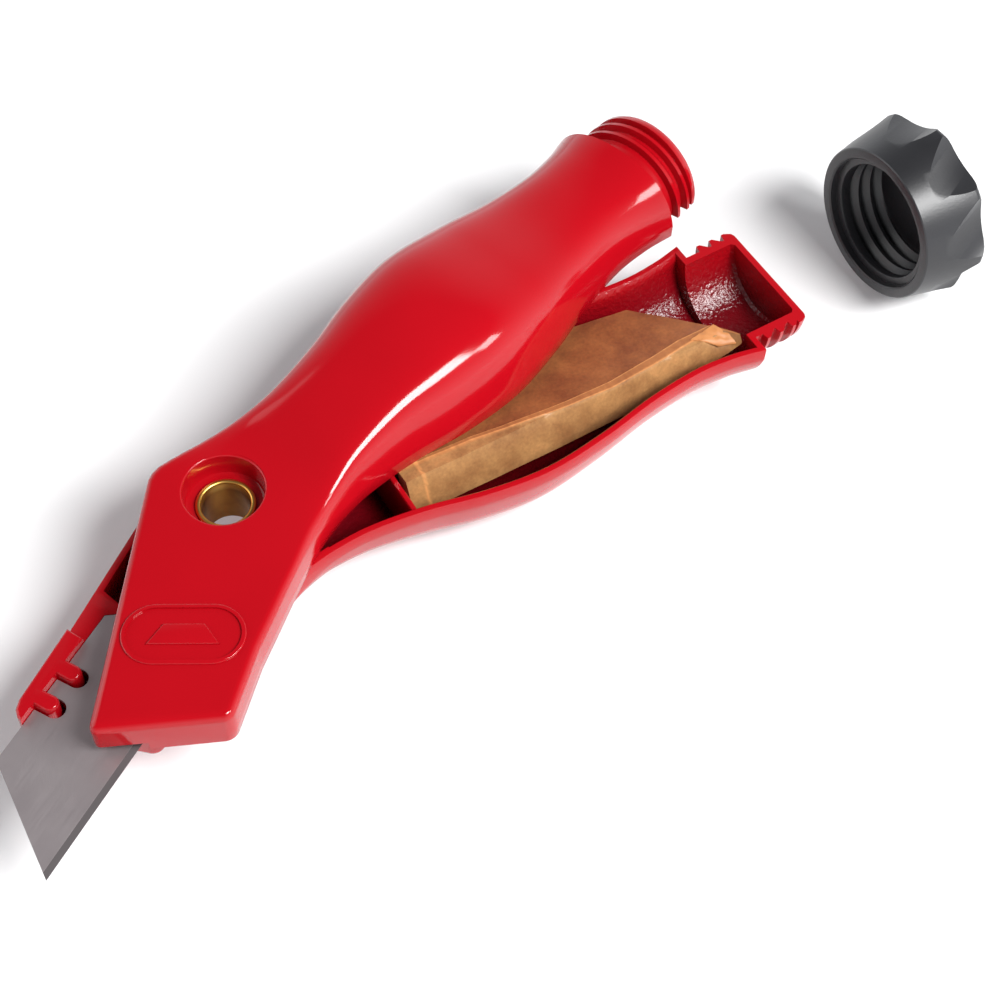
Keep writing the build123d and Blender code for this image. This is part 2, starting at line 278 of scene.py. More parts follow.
def outside_sections():
    """The head's end, the head, the neck and the handle, in order."""
    rings = []
    (far0, near0), (far1, near1) = HEAD_PAIRS[:2]
    for i in range(END_RINGS):
        a = pi / 2 * (1 - i / (END_RINGS - 1))
        inset = HEAD_ROUND * (1 - cos(a))
        t = HEAD_ROUND * (1 - sin(a)) / END_SPAN
        far = [p + t * (q - p) for p, q in zip(far0, far1)]
        near = [p + t * (q - p) for p, q in zip(near0, near1)]
        rings.append(section(far, near, far[0], inset))
    start = HEAD_ROUND / END_SPAN
    for (pair, following), steps in zip(zip(HEAD_PAIRS, HEAD_PAIRS[1:]), HEAD_STEPS):
        for i in range(steps):
            t = start + (1 - start) * (i + 1) / steps
            far = [p + t * (q - p) for p, q in zip(pair[0], following[0])]
            near = [p + t * (q - p) for p, q in zip(pair[1], following[1])]
            if near[0] > NEAR_LINE[0][0]:
                near[1] = smooth_row(near[0], NEAR_LINE)[0]
            rings.append(section(far, near, (far[0] + near[0]) / 2))
        start = 0.0
    first, last = HEAD_PAIRS[-1][0][0], HANDLE[-1][0]
    count = round((last - first) / HANDLE_STEP)
    for i in range(1, count + 1):
        x = first + (last - first) * i / count
        w = smooth_row(x)[0]
        rings.append(section((x, AXIS_Y + w), (x, AXIS_Y - w), x))
    return rings


def weld(data):
    """Merges doubled points and turns the faces outwards."""
    form = bmesh.new()
    form.from_mesh(data)
    bmesh.ops.remove_doubles(form, verts=form.verts, dist=WELD)
    bmesh.ops.recalc_face_normals(form, faces=form.faces)
    form.to_mesh(data)
    form.free()


def mesh_piece(name, vertices, faces, finish):
    """An object at the origin, from vertices in millimetres."""
    data = bpy.data.meshes.new(name)
    data.from_pydata([Vector(v) * MM for v in vertices], [], faces)
    data.materials.append(finish)
    weld(data)
    piece = bpy.data.objects.new(name, data)
    scene.collection.objects.link(piece)
    return piece


def skin(name, rings, finish, closed=False):
    """Quads from ring to ring; the ends are closed, or join up."""
    n, count = len(rings[0]), len(rings)
    faces = []
    for i in range(count if closed else count - 1):
        a, b = i * n, (i + 1) % count * n
        faces += [(a + j, a + (j + 1) % n, b + (j + 1) % n, b + j) for j in range(n)]
    if not closed:
        faces += [tuple(range(n)), tuple(range((count - 1) * n, count * n))]
    return mesh_piece(name, [v for ring in rings for v in ring], faces, finish)


def round_about(steps):
    """Pairs of cosine and sine, once round a circle."""
    return [(cos(2 * pi * i / steps), sin(2 * pi * i / steps)) for i in range(steps)]


def turned_x(name, profile, finish):
    """A shape turned about the thread's axis from (place, radius) pairs."""
    rings = [[(x, AXIS_Y + r * c, r * s) for c, s in round_about(160)] for x, r in profile]
    return skin(name, rings, finish)


def turned_z(name, profile, finish, closed=False):
    """A shape turned about the rivet's axis from (height, radius) pairs."""
    rings = [[(r * c, r * s, z) for c, s in round_about(128)] for z, r in profile]
    return skin(name, rings, finish, closed)


def prism(name, outline, low, high, finish, soften=0.0):
    """An upright block over an outline; its upper edges can be rounded."""
    bottom = [(x, y, low) for x, y in outline]
    top = [(x, y, high) for x, y in outline]
    piece = skin(name, [bottom, top], finish)
    if soften:
        form = bmesh.new()
        form.from_mesh(piece.data)
        level = [e for e in form.edges if min(v.co.z for v in e.verts) > (high - 0.01) * MM]
        bmesh.ops.bevel(form, geom=level, offset=soften * MM, segments=4, profile=0.5, affect="EDGES")
        form.to_mesh(piece.data)
        form.free()
    return piece


def settle(piece):
    """Makes a plain mesh of what the piece's modifiers give, and removes them."""
    result = bpy.data.meshes.new_from_object(piece.evaluated_get(bpy.context.evaluated_depsgraph_get()))
    piece.modifiers.clear()
    piece.data = result


def combine(piece, tool, operation):
    """Joins, cuts or intersects two solids, and keeps the first."""
    modifier = piece.modifiers.new("combine", "BOOLEAN")
    modifier.operation, modifier.object, modifier.solver = operation, tool, "MANIFOLD"
    modifier.material_mode = "TRANSFER"
    settle(piece)
    bpy.data.objects.remove(tool)


# red stoving enamel on a die casting: deep, wet-looking gloss with a faint orange peel
enamel, tree = blank_material("red_stoving_enamel_dipped")
place = add(tree, "ShaderNodeTexCoord").outputs["Object"]
peel = add(tree, "ShaderNodeTexNoise", {"Vector": place, "Scale": 1 / (2.2 * MM), "Detail": 1.5})
clouds = add(tree, "ShaderNodeTexNoise", {"Vector": place, "Scale": 1 / (26 * MM), "Detail": 3.0})
tone = add(
    tree,
    "ShaderNodeMix",
    {"Factor": clouds, "A": linear("#9D0712"), "B": linear("#AA0916")},
    data_type="RGBA",
)
peel_bump = add(tree, "ShaderNodeBump", {"Height": peel, "Strength": 0.10, "Distance": 0.05 * MM})
finish_surface(tree, Base_Color=tone, Roughness=0.11, IOR=1.43, Normal=peel_bump)

# the same enamel over the rough cast inside: the grain shows through as sparkle, and painted shade darkens it
# further from the parting plane, deep in the hollows
rough_enamel_painted_shade, tree = blank_material("red_stoving_enamel_over_cast_grain_painted_shade")
place = add(tree, "ShaderNodeTexCoord").outputs["Object"]
grain = add(tree, "ShaderNodeTexNoise", {"Vector": place, "Scale": 1 / (0.8 * MM), "Detail": 3.0})
grain_bump = add(tree, "ShaderNodeBump", {"Height": grain, "Strength": 0.9, "Distance": 0.3 * MM})
level = add(tree, "ShaderNodeSeparateXYZ", {"Vector": place}).outputs["Z"]
deep = add(tree, "ShaderNodeMath", {0: level}, operation="ABSOLUTE")
# painted shade: the colour darkens from 1.5 to 9 mm away from the parting plane, where shade falls deep in
# the hollows
painted_depth_shade = add(tree, "ShaderNodeMapRange", {"Value": deep, "From Min": 1.5 * MM, "From Max": 9 * MM})
inner_tone_painted_shade = add(
    tree,
    "ShaderNodeMix",
    {"Factor": painted_depth_shade, "A": linear("#980913"), "B": linear("#660610")},
    data_type="RGBA",
)
finish_surface(tree, Base_Color=inner_tone_painted_shade, Roughness=0.16, IOR=1.5, Normal=grain_bump)

CHAMBER_START, CHAMBER_END, CHAMBER_FOOT = 12.0, 102.6, 1.8
# how much wider the hollow is towards the rim: (width added, height)
RIM_FLARE = [(0.75, -1), (0.75, RIM_Z), (0.3, 0.6), (0.07, 1.2)]


def chamber_tool():
    """The hollow of the handle, flared a little at the rim."""
    rings = []
    count = round((CHAMBER_END - CHAMBER_START) / HANDLE_STEP)
    for i in range(count + 1):
        x = CHAMBER_START + (CHAMBER_END - CHAMBER_START) * i / count
        w, h, squareness = smooth_row(x)
        w, h = w - WALL, h - WALL
        side = [(w + flare, z) for flare, z in RIM_FLARE] + quarter(w, CHAMBER_FOOT, h, squareness, 20)
        rings.append([(x, AXIS_Y + d, z) for d, z in side] + [(x, AXIS_Y - d, z) for d, z in side[-2::-1]])
    return skin("chamber_tool", rings, rough_enamel_painted_shade)


# the stub's thread: one ridge of buttress profile that follows a helix
COLLAR_X, STUB_END = 103.8, 115.3
ROOT_R, CREST_R, PITCH, FIRST_CREST = 11.5, 12.9, 2.95, 107.5
STUB_BORE_R, STUB_WALL = 10.0, 1.3
RIDGE_TURNS, HELIX_POINTS = 2.5, 120
STUB_BOX = [(95, -30), (120, -30), (120, 30), (95, 30)]  # over the whole stub, to keep its upper half
# the ridge's corners: place along the axis, share of its height, height added
RIDGE_CORNERS = [(0.62, 0, -0.15), (0.35, 1, 0), (-0.35, 1, 0), (-1.95, 0, -0.15)]


def piece_nodes(name, inputs):
    """A geometry node tree with named inputs, and those inputs' sockets."""
    tree = bpy.data.node_groups.new(name, "GeometryNodeTree")
    for label, kind in inputs.items():
        tree.interface.new_socket(label, in_out="INPUT", socket_type=f"NodeSocket{kind}")
    tree.interface.new_socket("Piece", in_out="OUTPUT", socket_type="NodeSocketGeometry")
    return tree, add(tree, "NodeGroupInput").outputs


def end_nodes(tree, geometry, finish):
    """Ends a geometry node tree: instances become real, and everything takes one material."""
    real = add(tree, "GeometryNodeRealizeInstances", {"Geometry": geometry})
    painted = add(tree, "GeometryNodeSetMaterial", {"Geometry": real, "Material": finish})
    add(tree, "NodeGroupOutput", {"Piece": painted})


def grow(name, tree, values):
    """An object whose mesh is what the geometry nodes make of the named values."""
    piece = bpy.data.objects.new(name, bpy.data.meshes.new(name))
    scene.collection.objects.link(piece)
    modifier = piece.modifiers.new(name, "NODES")
    modifier.node_group = tree
    for item in tree.interface.items_tree:
        if item.name in values:
            modifier[item.identifier] = values[item.name]
    settle(piece)
    return piece


def ridge_tree():
    """Sweeps a four-cornered profile along a helix about the thread's axis."""
    sizes = dict.fromkeys(("Pitch", "Turns", "Root radius", "Height"), "Float")
    tree, given = piece_nodes("thread_ridge", {**sizes, "Start": "Vector", "Finish": "Material"})
    rise = add(tree, "ShaderNodeMath", {0: given["Pitch"], 1: given["Turns"]}, operation="MULTIPLY")
    helix = add(
        tree,
        "GeometryNodeCurveSpiral",
        {
            "Resolution": HELIX_POINTS,
            "Rotations": given["Turns"],
            "Start Radius": given["Root radius"],
            "End Radius": given["Root radius"],
            "Height": rise,
            "Reverse": True,
        },
    )
    upright = add(tree, "GeometryNodeSetCurveNormal", {"Curve": helix}, mode="Z_UP")
    corners = {}
    for number, (across, share, added) in enumerate(RIDGE_CORNERS, 1):
        reach = {0: given["Height"], 1: share, 2: added * MM}
        height = add(tree, "ShaderNodeMath", reach, operation="MULTIPLY_ADD")
        corners[f"Point {number}"] = add(tree, "ShaderNodeCombineXYZ", {"X": height, "Y": across * MM})
    profile = add(tree, "GeometryNodeCurvePrimitiveQuadrilateral", corners, mode="POINTS")
    sweep = {"Curve": upright, "Profile Curve": profile, "Fill Caps": True}
    ridge = add(tree, "GeometryNodeCurveToMesh", sweep)
    laid = add(
        tree,
        "GeometryNodeTransform",
        {"Geometry": ridge, "Translation": given["Start"], "Rotation": (pi / 2, pi, pi / 2)},
    )
    end_nodes(tree, laid, given["Finish"])
    return tree


ridge_nodes = ridge_tree()


def thread_ridge(turns, root_r, height, start_x, finish):
    """The ridge of one thread as a closed solid, about the thread's axis."""
    values = {
        "Pitch": PITCH * MM,
        "Turns": turns,
        "Root radius": root_r * MM,
        "Height": height * MM,
        "Start": (start_x * MM, AXIS_Y * MM, 0),
        "Finish": finish,
    }
    ridge = grow("thread_ridge", ridge_nodes, values)
    weld(ridge.data)
    return ridge


def shell_half(name, hand):
    """Outside, threaded stub and hollow of one shell, above the parting plane. The thread's hand is 1, or -1
    when the shell is mirrored afterwards."""
    shell = skin(name, outside_sections(), enamel)
    stub = turned_x(
        "stub",
        [
            (COLLAR_X - 2.5, ROOT_R),
            (STUB_END - 2.3, ROOT_R),
            (STUB_END - 2.1, CREST_R - 0.15),
            (STUB_END - 1.2, CREST_R - 0.2),
            (STUB_END - 0.35, CREST_R - 0.7),
            (STUB_END - 0.05, CREST_R - 1.3),
            (STUB_END, CREST_R - 1.8),
        ],
        enamel,
    )
    ridge = thread_ridge(RIDGE_TURNS, ROOT_R, CREST_R - ROOT_R, FIRST_CREST - PITCH / 2, enamel)
    ridge.data.transform(Matrix.Diagonal((1, 1, hand, 1)))
    if hand < 0:
        ridge.data.flip_normals()
    combine(stub, ridge, "UNION")
    combine(stub, prism("upper_half", STUB_BOX, RIM_Z, 30, enamel), "INTERSECT")
    combine(shell, stub, "UNION")
    combine(shell, chamber_tool(), "DIFFERENCE")
    bore = turned_x(
        "bore",
        [
            (CHAMBER_END - 1.2, STUB_BORE_R + 0.4),
            (CHAMBER_END + 0.3, STUB_BORE_R),
            (STUB_END - STUB_WALL - 0.6, STUB_BORE_R),
            (STUB_END - STUB_WALL, STUB_BORE_R - 0.6),
        ],
        rough_enamel_painted_shade,
    )
    combine(shell, bore, "DIFFERENCE")
    return shell


def shade(piece, angle=32):
    """Smooth shading that keeps edges sharper than the angle."""
    piece.data.shade_smooth()
    piece.data.set_sharp_from_angle(angle=radians(angle))


# ==== Front shell ====
# The upper casting of red enamelled zinc. It turns on the rivet and hides most of the blade. Its flat face
# has the counterbore for the rivet's rolled rim, and a raised panel.
BOSS_R, COUNTERBORE_R, FRONT_SEAT = 9.2, 7.1, 3.1
RIVET_R, PIVOT_CLEARANCE = 4.8, 0.06
HEAD_CEILING = 2.2
HEAD_INSIDE = [
    (-43.6, -17.1), (-29.4, -30.0), (-17.0, -24.0), (-4.6, -19.2), (4.2, -15.9),
    (13.0, -14.2), (13.0, 8.2), (3.4, 9.4), (-5.0, 10.6),
]
RAIL_GAP = [(-31.0, -4.0), (-49.0, -16.5), (-50.0, -21.0), (-41.6, -25.4), (-39.0, -22.0), (-30.0, -11.0)]
RAIL_TOP = 1.6
THROUGH = (-2, 9)  # a cutter from under the parting plane to over the flat face


def counterbore_tool(seat):
    """A round recess from the flat face down to the rivet's seat, with soft edges."""
    r, soft = COUNTERBORE_R, 0.4
    turn = [pi / 2 * i / 6 for i in range(7)]
    lip = [(HEAD_HEIGHT - soft + soft * sin(a), r + soft * (1 - cos(a))) for a in turn]
    foot = [(seat, r - 0.7), (seat + 0.2, r - 0.2), (seat + 0.7, r)]
    return turned_z("counterbore", [*foot, *lip, (THROUGH[1], r + soft)], enamel)


front = shell_half("front_shell_enamelled", 1)
cavity = prism("cavity", HEAD_INSIDE, -1, HEAD_HEIGHT - HEAD_CEILING, rough_enamel_painted_shade)
combine(cavity, turned_z("boss", [(-2, BOSS_R), (12, BOSS_R)], rough_enamel_painted_shade), "DIFFERENCE")
combine(front, cavity, "DIFFERENCE")
combine(front, prism("rail_gap", RAIL_GAP, -1, RAIL_TOP + 0.5, rough_enamel_painted_shade), "DIFFERENCE")
combine(front, counterbore_tool(FRONT_SEAT), "DIFFERENCE")
hole_r = RIVET_R + PIVOT_CLEARANCE
combine(front, turned_z("rivet_hole", [(z, hole_r) for z in THROUGH], enamel), "DIFFERENCE")

# the raised panel: a plain rounded frame around a trapezoid blade, cast with the shell
PANEL_MIDDLE = (-24.2, -15.6)
PANEL_TURN = radians(-48)
PANEL_HALF, PANEL_R, PANEL_LINE = 4.6, 5.6, 0.75


def on_panel(points):
    c, s = cos(PANEL_TURN), sin(PANEL_TURN)
    return [(PANEL_MIDDLE[0] + x * c - y * s, PANEL_MIDDLE[1] + x * s + y * c) for x, y in points]


def pill(half, r, steps=24):
    """An outline of two half circles joined by straight sides."""
    turn = [pi * i / steps - pi / 2 for i in range(steps + 1)]
    right = [(half + r * cos(a), r * sin(a)) for a in turn]
    return right + [(-x, -y) for x, y in right]


PANEL_SOFT = 0.25
low, high = HEAD_HEIGHT - 0.3, HEAD_HEIGHT + 0.4
panel_frame = prism("frame", on_panel(pill(PANEL_HALF, PANEL_R)), low, high, enamel, PANEL_SOFT)
inside = prism("inside", on_panel(pill(PANEL_HALF, PANEL_R - PANEL_LINE)), low - 1, high + 1, enamel)
combine(panel_frame, inside, "DIFFERENCE")
combine(front, panel_frame, "UNION")
blade_outline = on_panel([(-6.0, -1.9), (6.0, -1.9), (3.4, 1.9), (-3.4, 1.9)])
combine(front, prism("sign", blade_outline, low, high, enamel, PANEL_SOFT), "UNION")
front.data.transform(Matrix.Rotation(OPEN_ANGLE, 4, "Z"))
shade(front)
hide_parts("front_shell")
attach(front, "front_shell")


# ==== Back shell ====
# The lower casting of red enamelled zinc, the mirror image of the front one. It carries the blade's bed, the
# rail whose two lugs fill the blade's notches, a thin cross wall in the neck and the store for spare blades.
BACK_SEAT = 6.3
POCKET_DEPTH = 6.0
FAR_POCKET = [(-11.0, 7.0), (-17.2, 2.6), (-25.0, -3.1), (-23.6, -7.6), (-11.0, -8.6), (-7.5, -3.0)]
NEAR_POCKET = [
    (-13.2, -22.0), (-5.2, -18.9), (4.0, -15.9), (13.0, -14.4), (13.0, -8.0), (6.0, -9.6), (-6.0, -12.4),
]
RIB_DROP, RIB_GRIP = 0.9, 1.4  # how far the cross wall stays under the rim and inside the shell's outside
# the cross wall's rounded top: (place along X, drop)
RIB_TOP = [(28.45, 0.3), (28.6, 0.06), (29.0, 0.0), (29.4, 0.06), (29.55, 0.3)]
BLADE_TIP, BLADE_TURN = (-54.2, -45.9), radians(31.0)
BLADE_LENGTH, BLADE_WIDTH, BLADE_THICK, END_ANGLE = 56.0, 18.7, 0.63, radians(55.5)
NOTCH_PITCH, BED_CLEARANCE = 6.3, 0.12
RAIL = [
    (-33.4, -7.5), (-45.5, -15.8), (-46.7, -17.2), (-47.0, -18.6),
    (-46.7, -20.0), (-45.6, -20.2), (-31.9, -10.6),
]
LUG_WIDTH, LUG_REACH, LUG_ROOT = 2.9, 3.6, 1.6
GAP_HALF, GAP_FAR, GAP_NEAR = 1.9, 5.1, 2  # the dark gap under each lug's tip, from the blade's back


def on_blade(points):
    """Places given along and across the blade, from its tip."""
    c, s = cos(BLADE_TURN), sin(BLADE_TURN)
    return [(BLADE_TIP[0] + u * c - v * s, BLADE_TIP[1] + u * s + v * c) for u, v in points]


back = shell_half("back_shell_enamelled", -1)
combine(back, counterbore_tool(BACK_SEAT), "DIFFERENCE")
rib_w, rib_h, rib_square = smooth_row(RIB_TOP[2][0])
rib_w, rib_h = rib_w - RIB_GRIP, rib_h - RIB_GRIP
rib_side = [(rib_w, RIB_DROP)] + quarter(rib_w, RIB_DROP + 0.3, rib_h, rib_square, 20)
rib_loop = rib_side + [(-d, z) for d, z in rib_side[-2::-1]]
rib_rings = [[(x, AXIS_Y + d, max(z, RIB_DROP + dip)) for d, z in rib_loop] for x, dip in RIB_TOP]
rib = skin("rib", rib_rings, enamel)
combine(back, rib, "UNION")
for outline in (FAR_POCKET, NEAR_POCKET):
    pocket = prism("pocket", outline, -1, POCKET_DEPTH, rough_enamel_painted_shade)
    combine(pocket, turned_z("boss", [(-2, BOSS_R), (12, BOSS_R)], enamel), "DIFFERENCE")
    combine(back, pocket, "DIFFERENCE")
combine(back, turned_z("rivet_hole", [(z, RIVET_R) for z in THROUGH], enamel), "DIFFERENCE")
back.data.transform(Matrix.Diagonal((1, 1, -1, 1)))
back.data.flip_normals()

# the blade's bed, a trapezoid a little larger than the blade, is sunk into the shell and the rail
lean = BLADE_WIDTH / tan(END_ANGLE)
bed_outline = on_blade([
    (-0.3, -BED_CLEARANCE),
    (BLADE_LENGTH + 0.3, -BED_CLEARANCE),
    (BLADE_LENGTH - lean + 0.1, BLADE_WIDTH + BED_CLEARANCE),
    (lean - 0.1, BLADE_WIDTH + BED_CLEARANCE),
])
rail = prism("rail", RAIL, -3.0, RAIL_TOP, enamel, 0.5)
for casting in (back, rail):
    combine(casting, prism("bed", bed_outline, -BLADE_THICK - 0.05, 5, enamel), "DIFFERENCE")
combine(back, rail, "UNION")
lug_r = LUG_WIDTH / 2
tip_v, root_v = BLADE_WIDTH - LUG_REACH + lug_r, BLADE_WIDTH + LUG_ROOT
gap_low, gap_high = BLADE_WIDTH - GAP_FAR, BLADE_WIDTH - GAP_NEAR
for side in (-0.5, 0.5):
    u = BLADE_LENGTH / 2 + side * NOTCH_PITCH
    left, right = u - GAP_HALF, u + GAP_HALF
    gap = on_blade([(left, gap_low), (right, gap_low), (right, gap_high), (left, gap_high)])
    combine(back, prism("gap", gap, -4.5, 3, rough_enamel_painted_shade), "DIFFERENCE")
    tongue = [(u - lug_r * cos(a), tip_v - lug_r * sin(a)) for a in (pi * k / 16 for k in range(17))]
    tongue += [(u + lug_r, root_v), (u - lug_r, root_v)]
    # the lugs' tops are a hair apart from the rail's and from each other, so that no faces coincide
    lug_top = RAIL_TOP + 0.02 - 0.02 * side
    combine(back, prism("lug", on_blade(tongue), -4.8, lug_top, enamel, 0.55), "UNION")
shade(back)
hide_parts("back_shell")
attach(back, "back_shell")


# ==== Pivot rivet ====
# A drawn brass tube that holds both shells. Its ends are rolled outwards into smooth rims, and its bore is
# painted a darker, blotched brown as painted shade inside the hole.
RIVET_BORE_R, RIVET_RIM_R = 4.3, 5.25
ROLL_FOOT, ROLL_HEIGHT = 0.3, 0.4

# drawn brass: a warm bright rim, and a bore painted in darker, blotched browns as painted shade inside the
# hole
brass, tree = blank_material("brass_drawn_and_rolled")
place = add(tree, "ShaderNodeTexCoord").outputs["Object"]
level = add(tree, "ShaderNodeSeparateXYZ", {"Vector": place}).outputs["Z"]
# the rim stays bright brass; lower down the bore takes the painted shade
rim_above_bore_shade = add(tree, "ShaderNodeMapRange", {"Value": level, "From Min": 1.6 * MM, "From Max": 3.2 * MM})
blotches = add(tree, "ShaderNodeTexNoise", {"Vector": place, "Scale": 1 / (1.8 * MM), "Detail": 4.0})
painted_bore_shade = add(
    tree,
    "ShaderNodeMix",
    {"Factor": blotches, "A": linear("#6E4A1C"), "B": linear("#9A6E2C")},
    data_type="RGBA",
)
brass_tone = add(
    tree,
    "ShaderNodeMix",
    {"Factor": rim_above_bore_shade, "A": painted_bore_shade, "B": linear("#E0B35C")},
    data_type="RGBA",
)
finish_surface(tree, Base_Color=brass_tone, Metallic=1.0, Roughness=0.32)

top = FRONT_SEAT + PIVOT_CLEARANCE


def rolled_rim(z, way):
    """Half of a round bead from the bore's edge to the rim's edge."""
    middle, r = (RIVET_BORE_R + RIVET_RIM_R) / 2, (RIVET_RIM_R - RIVET_BORE_R) / 2
    turn = [pi * i / 14 for i in range(15)]
    return [(z + way * (ROLL_FOOT + ROLL_HEIGHT * sin(a)), middle - r * cos(a)) for a in turn]


loop = [
    *rolled_rim(top, 1),
    (top, RIVET_RIM_R - 0.05),
    (top, RIVET_R),
    (-BACK_SEAT, RIVET_R),
    (-BACK_SEAT, RIVET_RIM_R - 0.05),
    *reversed(rolled_rim(-BACK_SEAT, -1)),
]
rivet = turned_z("pivot_rivet_rolled", loop, brass, closed=True)
shade(rivet, 40)
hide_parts("pivot_rivet")
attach(rivet, "back_shell")


# ==== Blades ====
# Hardened carbon steel strip, punched with two notches and ground to an edge on both faces. The working blade
# lies in its bed, held by the lugs, and the spare ones are stacked in the packet.
EDGE_V = BLADE_TIP[1] * cos(BLADE_TURN) - BLADE_TIP[0] * sin(BLADE_TURN)
BEVEL, BEVEL_LINE = 1.05, 0.07  # width of the ground edge, and of its border

# rolled steel: cool grey with fine lengthwise lines, which are drawn coarser than the real ones so that they
# show, faint cloudy patches, and a darker ground bevel
steel, tree = blank_material("carbon_steel_strip_ground")
place = add(tree, "ShaderNodeTexCoord").outputs["Object"]
turned_back = {"Vector": place, "Rotation": (0, 0, -BLADE_TURN)}
along = add(tree, "ShaderNodeMapping", turned_back, vector_type="POINT")
stretch = (1 / (9 * MM), 1 / (0.28 * MM), 1 / (2 * MM))
stretched = add(tree, "ShaderNodeVectorMath", {0: along, 1: stretch}, operation="MULTIPLY")
lines = add(tree, "ShaderNodeTexNoise", {"Vector": stretched, "Scale": 1.0, "Detail": 4.0})
patches = add(tree, "ShaderNodeTexNoise", {"Vector": place, "Scale": 1 / (9 * MM), "Detail": 3.0})
steel_tone = add(
    tree,
    "ShaderNodeMix",
    {"Factor": patches, "A": linear("#9A9193"), "B": linear("#B2A9AA")},
    data_type="RGBA",
)
across = add(tree, "ShaderNodeSeparateXYZ", {"Vector": along}).outputs["Y"]
border = {"Value": across, "From Min": (EDGE_V + BEVEL) * MM, "From Max": (EDGE_V + BEVEL + BEVEL_LINE) * MM}
flat_face = add(tree, "ShaderNodeMapRange", border)
ground_tone = add(
    tree,
    "ShaderNodeMix",
    {"Factor": flat_face, "A": linear("#5C5758"), "B": steel_tone},
    data_type="RGBA",
)
dullness = add(tree, "ShaderNodeMapRange", {"Value": lines, "To Min": 0.42, "To Max": 0.58})
line_bump = add(tree, "ShaderNodeBump", {"Height": lines, "Strength": 0.2, "Distance": 0.02 * MM})
finish_surface(tree, Base_Color=ground_tone, Metallic=0.86, Roughness=dullness, Normal=line_bump)
for name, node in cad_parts.items():
    if name == "working_blade" or name.startswith("spare_blade"):
        node.data.materials.clear()
        node.data.materials.append(steel)


# ==== End cap ====
# Injection-moulded black plastic. Eight scoops for the fingers widen towards the closed rear, a recess inside
# the mouth covers the collar, and the thread is moulded inside.
CAP_MOUTH, CAP_LENGTH = 141.0, 13.8
CAP_MOUTH_R, CAP_REAR_R, CAP_WALL = 15.9, 18.4, 2.0
RECESS_R, RECESS_DEPTH, CAP_CREST_R, CAP_ROOT_R = 13.6, 1.6, 11.9, 13.2
GROOVE_TURNS, GROOVE_START, GROOVE_OVERLAP = 2.6, 1.4, 0.1
SCOOPS, SCOOP_R, SCOOP_DEPTH = 8, 11.0, 2.4
SCOOP_LENGTH, SCOOP_IN = 28, 3
SCOOP_TWIST, SCOOP_LEAN = radians(24), radians(6)

# black plastic from a spark-eroded mould: satin, with a fine pebble drawn coarser than the real one so that
# it shows, and faint patches from handling
plastic, tree = blank_material("black_abs_spark_texture")
place = add(tree, "ShaderNodeTexCoord").outputs["Object"]
spark = add(tree, "ShaderNodeTexNoise", {"Vector": place, "Scale": 1 / (0.45 * MM), "Detail": 2.0})
spark_bump = add(tree, "ShaderNodeBump", {"Height": spark, "Strength": 0.35, "Distance": 0.05 * MM})
wear = add(tree, "ShaderNodeTexNoise", {"Vector": place, "Scale": 1 / (11 * MM), "Detail": 4.0})
plastic_tone = add(
    tree,
    "ShaderNodeMix",
    {"Factor": wear, "A": linear("#1D1D1F"), "B": linear("#27272A")},
    data_type="RGBA",
)
finish_surface(tree, Base_Color=plastic_tone, Roughness=0.36, IOR=1.52, Normal=spark_bump)

cap_rear = CAP_MOUTH + CAP_LENGTH
cap = turned_x(
    "end_cap_moulded",
    [
        (CAP_MOUTH, CAP_MOUTH_R - 0.55),
        (CAP_MOUTH + 0.08, CAP_MOUTH_R - 0.25),
        (CAP_MOUTH + 0.3, CAP_MOUTH_R - 0.04),
        (CAP_MOUTH + 0.6, CAP_MOUTH_R + 0.02),
        (CAP_MOUTH + 4, CAP_MOUTH_R + 0.75),
        (CAP_MOUTH + 8, CAP_MOUTH_R + 1.55),
        (cap_rear - 2.0, CAP_REAR_R - 0.02),
        (cap_rear - 1.5, CAP_REAR_R - 0.05),
        (cap_rear - 1.0, CAP_REAR_R - 0.35),
        (cap_rear - 0.5, CAP_REAR_R - 0.95),
        (cap_rear - 0.15, CAP_REAR_R - 1.8),
        (cap_rear, CAP_REAR_R - 2.8),
    ],
    plastic,
)


def scoop_tree():
    """Sets one tilted roller at even angles about the thread's axis."""
    inputs = {"Count": "Int", "Radius": "Float", "Length": "Float", "Offset": "Vector", "Tilt": "Vector"}
    tree, given = piece_nodes("finger_scoops", {**inputs, "First angle": "Float", "Finish": "Material"})
    roller = add(
        tree,
        "GeometryNodeMeshCylinder",
        {"Vertices": 192, "Radius": given["Radius"], "Depth": given["Length"]},
    )
    tilted = add(
        tree,
        "GeometryNodeTransform",
        {"Geometry": roller, "Translation": given["Offset"], "Rotation": given["Tilt"]},
    )
    places = add(tree, "GeometryNodeMeshLine", {"Count": given["Count"], "Offset": (0, 0, 0)})
    order = add(tree, "GeometryNodeInputIndex")
    share = add(tree, "ShaderNodeMath", {0: order, 1: given["Count"]}, operation="DIVIDE")
    turn = {0: share, 1: 2 * pi, 2: given["First angle"]}
    angle = add(tree, "ShaderNodeMath", turn, operation="MULTIPLY_ADD")
    about = add(tree, "ShaderNodeCombineXYZ", {"X": angle})
    copies = add(
        tree, "GeometryNodeInstanceOnPoints", {"Points": places, "Instance": tilted, "Rotation": about}
    )
    end_nodes(tree, copies, given["Finish"])
    return tree


